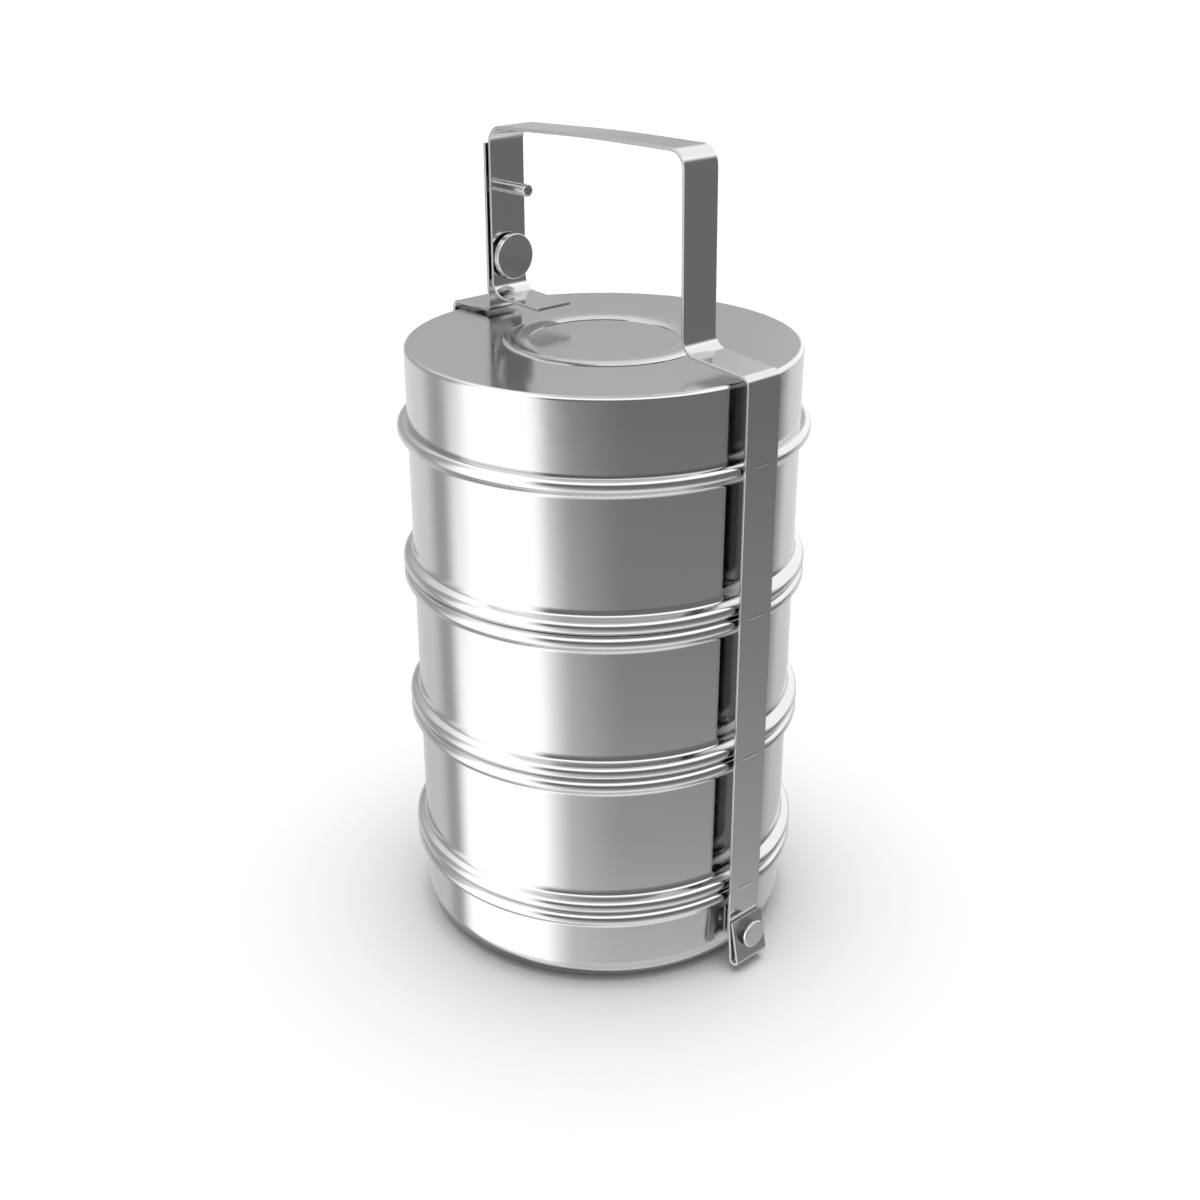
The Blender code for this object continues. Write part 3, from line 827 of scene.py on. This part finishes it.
stud_washer = washer_profile(
    STUD_SHANK_RADIUS + HOLE_CLEARANCE, STUD_WASHER_RADIUS, SEAT_GAP, SEAT_GAP + STUD_WASHER
)
pin_profile = [
    (0.0, PIN_REACH - PIN_DIMPLE_DEPTH, 0.0),
    (PIN_DIMPLE_RADIUS, PIN_REACH - PIN_DIMPLE_DEPTH, 0.0),
    (PIN_DIMPLE_RADIUS, PIN_REACH, HEAD_ROUND / 4),
    (PIN_RADIUS, PIN_REACH, HEAD_ROUND),
    (PIN_RADIUS, tail_end, HEAD_ROUND / 2),
    (0.0, tail_end, 0.0),
]
fastener("turned_latch_stud", stud_profile, stud_place, STUD_HEAD_RADIUS, "handle", "latch_stud")
fastener(
    "turned_stud_washer", stud_washer, stud_place, STUD_WASHER_RADIUS, "handle", "stud_washer", True
)
fastener("turned_lock_pin", pin_profile, pin_place, PIN_RADIUS, "lock", "lock_pin")
for place, radius, fit in (
    (stud_place, STUD_SHANK_RADIUS, HOLE_CLEARANCE),
    (pin_place, PIN_RADIUS, PIN_FIT),
):
    cut(handle_strap, rod(radius + fit, 3 * STRIP, place))
    in_tab = place @ Matrix.Translation((0.0, 0.0, tail_end + STRIP / 2))
    cut(latch_strap, rod(radius + TAB_HOLE_CLEARANCE, 2 * STRIP, in_tab))
for strap, body, node in (
    (handle_strap, "handle", "handle_strap"),
    (latch_strap, "latch", "latch_strap"),
):
    plain(strap)
    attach(strap, body)
    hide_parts(node)


# Studio: a white floor that keeps only a soft shadow, white all round the camera, and the cards and dark
# walls of the room that the polished steel shows.
FLOOR_SIZE = 40.0
PAPER_WHITE = (0.99, 0.99, 0.99, 1.0)
floor_mesh = bpy.data.meshes.new("floor")
floor_shape = bmesh.new()
bmesh.ops.create_grid(floor_shape, x_segments=1, y_segments=1, size=FLOOR_SIZE / 2)
floor_shape.to_mesh(floor_mesh)
floor_shape.free()
floor = bpy.data.objects.new("floor", floor_mesh)
bpy.context.scene.collection.objects.link(floor)
floor.visible_glossy = False
paper = bpy.data.materials.new("white_paper")
paper.use_nodes = True
paper_shader = paper.node_tree.nodes["Principled BSDF"]
paper_shader.inputs["Base Color"].default_value = PAPER_WHITE
paper_shader.inputs["Roughness"].default_value = 1.0
paper_shader.inputs["Specular IOR Level"].default_value = 0.0
floor_mesh.materials.append(paper)

# What the steel sees from straight down to straight up: (elevation, brightness) in front and behind.
FRONT = [
    (-90, 1.2), (-60, 1.1), (-46, 0.78), (-37, 0.64), (-32, 0.41), (-24, 0.29), (-16, 0.21), (20, 0.21),
    (35, 1.6), (57, 1.6), (67, 0.72),
]
BEHIND = [
    (-60, 0.20), (-48, 0.30), (-33, 0.66), (-17, 0.86), (0, 0.64), (12, 0.50), (19, 0.61), (27, 0.69),
    (36, 0.95), (48, 1.05), (66, 0.72),
]
# Where behind begins: its middle azimuth, and how far from it the change to the front starts and ends.
BEHIND_MIDDLE = 170.0
BEHIND_EDGE = (78, 98)
# (middle azimuth, half width, soft edge, lowest elevation, highest elevation, soft edge, brightness)
CARDS = [
    (-112.0, 55.5, 29.0, -52.0, -20.0, 14.0, 0.80),
    (-115.0, 41.5, 13.0, -52.0, -20.0, 14.0, 1.60),
    (-154.0, 10.0, 8.0, -60.0, 40.0, 12.0, 0.47),
    (-145.0, 50.0, 12.0, 45.0, 70.0, 6.0, 1.60),
    (-105.5, 25.5, 7.0, -75.0, 60.0, 12.0, 1.62),
    (93.0, 31.0, 8.0, -4.0, 56.0, 8.0, 1.35),
]
# The light that falls on the floor: brighter towards straight up, between these elevations.
CEILING_RISE = (55, 90)
CEILING_LOW = 0.57
CEILING_HIGH = 5.65
FIRST_BOUNCE = 0.5
world = bpy.data.worlds.new("studio")
bpy.context.scene.world = world
world.use_nodes = True
room = world.node_tree
room.nodes.clear()
way = wired(room, "ShaderNodeTexCoord").outputs["Generated"]
ways = wired(room, "ShaderNodeSeparateXYZ", {0: way}).outputs
bearing = reckoned(room, "ARCTAN2", ways["Y"], ways["X"])
rise = reckoned(room, "ARCSINE", ways["Z"])


def away_from(middle):
    """How far the sight line's bearing is from the given one, either way round."""
    turn = reckoned(room, "SUBTRACT", bearing, math.radians(middle))
    return reckoned(room, "ABSOLUTE", reckoned(room, "WRAP", turn, math.pi, -math.pi))


def graded(steps):
    """Brightness that eases from step to step as the sight line rises."""
    share = wired(
        room, "ShaderNodeMapRange", {"Value": rise, "From Min": -math.pi / 2, "From Max": math.pi / 2}
    ).outputs[0]
    ramp = wired(room, "ShaderNodeValToRGB", {0: share})
    ramp.color_ramp.interpolation = "EASE"
    while len(ramp.color_ramp.elements) < len(steps):
        ramp.color_ramp.elements.new(1.0)
    for element, (height, tone) in zip(ramp.color_ramp.elements, steps):
        element.position = (height + 90) / 180
        element.color = (tone, tone, tone, 1.0)
    return ramp.outputs[0]


def blended(share, first, second):
    """The first brightness, turning into the second as the share grows to 1."""
    return wired(room, "ShaderNodeMix", {0: share, 2: first, 3: second}, data_type="FLOAT").outputs[0]


behind_start, behind_end = map(math.radians, BEHIND_EDGE)
back = faded(room, away_from(BEHIND_MIDDLE), behind_start, behind_end, 1.0, 0.0)
shade = blended(back, graded(FRONT), graded(BEHIND))
for middle, half, soft, low, high, soft_rise, level in CARDS:
    wide = faded(room, away_from(middle), math.radians(half - soft), math.radians(half + soft), 1.0, 0.0)
    bottom = faded(room, rise, math.radians(low - soft_rise), math.radians(low + soft_rise))
    top = faded(room, rise, math.radians(high - soft_rise), math.radians(high + soft_rise), 1.0, 0.0)
    tall = reckoned(room, "MULTIPLY", bottom, top)
    shade = blended(reckoned(room, "MULTIPLY", wide, tall), shade, level)
ceiling_start, ceiling_end = map(math.radians, CEILING_RISE)
ceiling = faded(room, rise, ceiling_start, ceiling_end, CEILING_LOW, CEILING_HIGH)
path = wired(room, "ShaderNodeLightPath").outputs
dome = blended(path["Is Camera Ray"], ceiling, 1.0)
direct = reckoned(room, "LESS_THAN", path["Diffuse Depth"], FIRST_BOUNCE)
mirror = reckoned(room, "MULTIPLY", shade, direct)
light = blended(path["Is Glossy Ray"], dome, mirror)
glow = wired(room, "ShaderNodeBackground", {"Color": (1.0, 1.0, 1.0, 1.0), "Strength": light})
wired(room, "ShaderNodeOutputWorld", {"Surface": glow.outputs[0]})

# The photo's camera, fitted to its outlines.
CAMERA_SENSOR = 36.0
CAMERA_LENS = 47.90
CAMERA_REACH = 100.0
CAMERA_PLACE = (0.39864, -0.37670, 0.37090)
CAMERA_WAY = Vector((-0.66433, 0.62465, -0.41047))
camera_data = bpy.data.cameras.new("camera")
camera_data.sensor_width = CAMERA_SENSOR
camera_data.lens = CAMERA_LENS
camera_data.clip_end = CAMERA_REACH
camera = bpy.data.objects.new("camera", camera_data)
bpy.context.scene.collection.objects.link(camera)
camera.location = CAMERA_PLACE
camera.rotation_euler = CAMERA_WAY.to_track_quat("-Z", "Y").to_euler()
bpy.context.scene.camera = camera
bpy.context.scene.view_settings.view_transform = "Standard"
